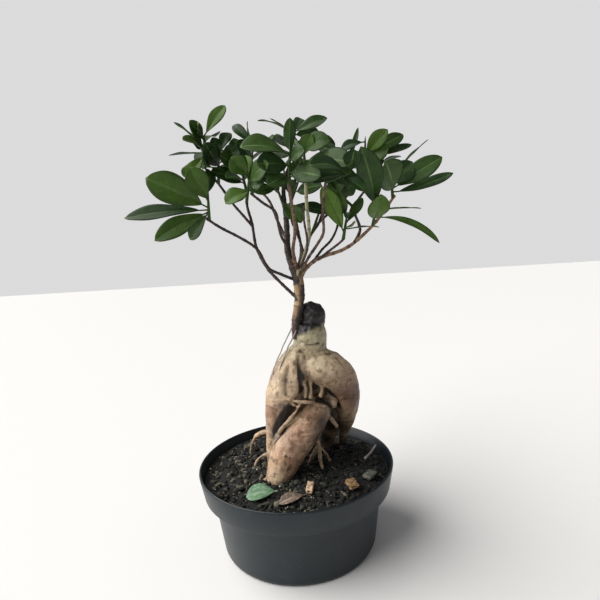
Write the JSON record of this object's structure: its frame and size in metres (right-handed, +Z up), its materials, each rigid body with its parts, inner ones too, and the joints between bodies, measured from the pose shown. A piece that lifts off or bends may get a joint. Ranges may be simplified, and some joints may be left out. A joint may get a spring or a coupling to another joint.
{
  "type": "potted grafted ficus ginseng bonsai",
  "caption": "Small indoor fig tree with swollen sculptural roots, a cut stump and a grafted leafy crown, growing in a round dark plastic nursery pot.",
  "frame": {"origin": "Centre of the pot's underside, on the table the pot stands on.", "axes": "+Z up through the plant; the pictured front faces -Y, with +X to the right of that view."},
  "size_m": [0.2301, 0.1731, 0.3363],
  "materials": {
    "pot_plastic": "satin injection-moulded polypropylene, anthracite",
    "potting_soil": "moist coarse peat with fibres, bark bits and perlite",
    "root_skin": "smooth thin beige bark with lenticels and pinkish patches",
    "stem_bark": "fine matt brown bark",
    "leaf": "waxy dark green leaf, paler and matter below",
    "aerial_root": "dry grey hair root",
    "fallen_leaf": "dull drying leaf",
    "bark_chip": "broken pine bark"
  },
  "bodies": {
    "root": {"pot": "pot_plastic", "soil": "potting_soil", "rootstock": "root_skin", "scion_trunk": "stem_bark", "leader": "stem_bark", "branch_left_front": "stem_bark", "branch_left_back": "stem_bark", "branch_left_high": "stem_bark", "branch_front_left": "stem_bark", "branch_front_middle": "stem_bark", "branch_back_left": "stem_bark", "branch_back_middle": "stem_bark", "branch_back_right": "stem_bark", "stem_pale": "stem_bark", "branch_front_right": "stem_bark", "branch_right_main": "stem_bark", "branch_right_inner": "stem_bark", "branch_right_low": "stem_bark", "branch_right_fork": "stem_bark", "branch_right_back": "stem_bark", "twig_centre": "stem_bark", "twig_front": "stem_bark", "shoot_left_low": "leaf", "shoot_left_tip": "leaf", "shoot_left_side": "leaf", "shoot_left_centre": "leaf", "shoot_left_top": "leaf", "shoot_front_left": "leaf", "shoot_front_middle": "leaf", "shoot_pale_tip": "leaf", "shoot_leader_tip": "leaf", "shoot_leader_side": "leaf", "shoot_leader_right": "leaf", "shoot_back_low": "leaf", "shoot_back_middle": "leaf", "shoot_back_top": "leaf", "shoot_back_right": "leaf", "shoot_back_left": "leaf", "shoot_far_right": "leaf", "shoot_front_right": "leaf", "shoot_right_inner": "leaf", "shoot_right_top": "leaf", "shoot_right_tip": "leaf", "shoot_right_side": "leaf", "shoot_right_low": "leaf", "shoot_fork_left": "leaf", "aerial_root_outer": "aerial_root", "aerial_root_inner": "aerial_root", "fallen_leaf_green": "fallen_leaf", "fallen_leaf_brown": "fallen_leaf", "twig_on_soil": "stem_bark", "bark_chip_tan": "bark_chip", "bark_chip_pale": "bark_chip", "bark_chip_grey": "bark_chip"}
  },
  "joints": []
}
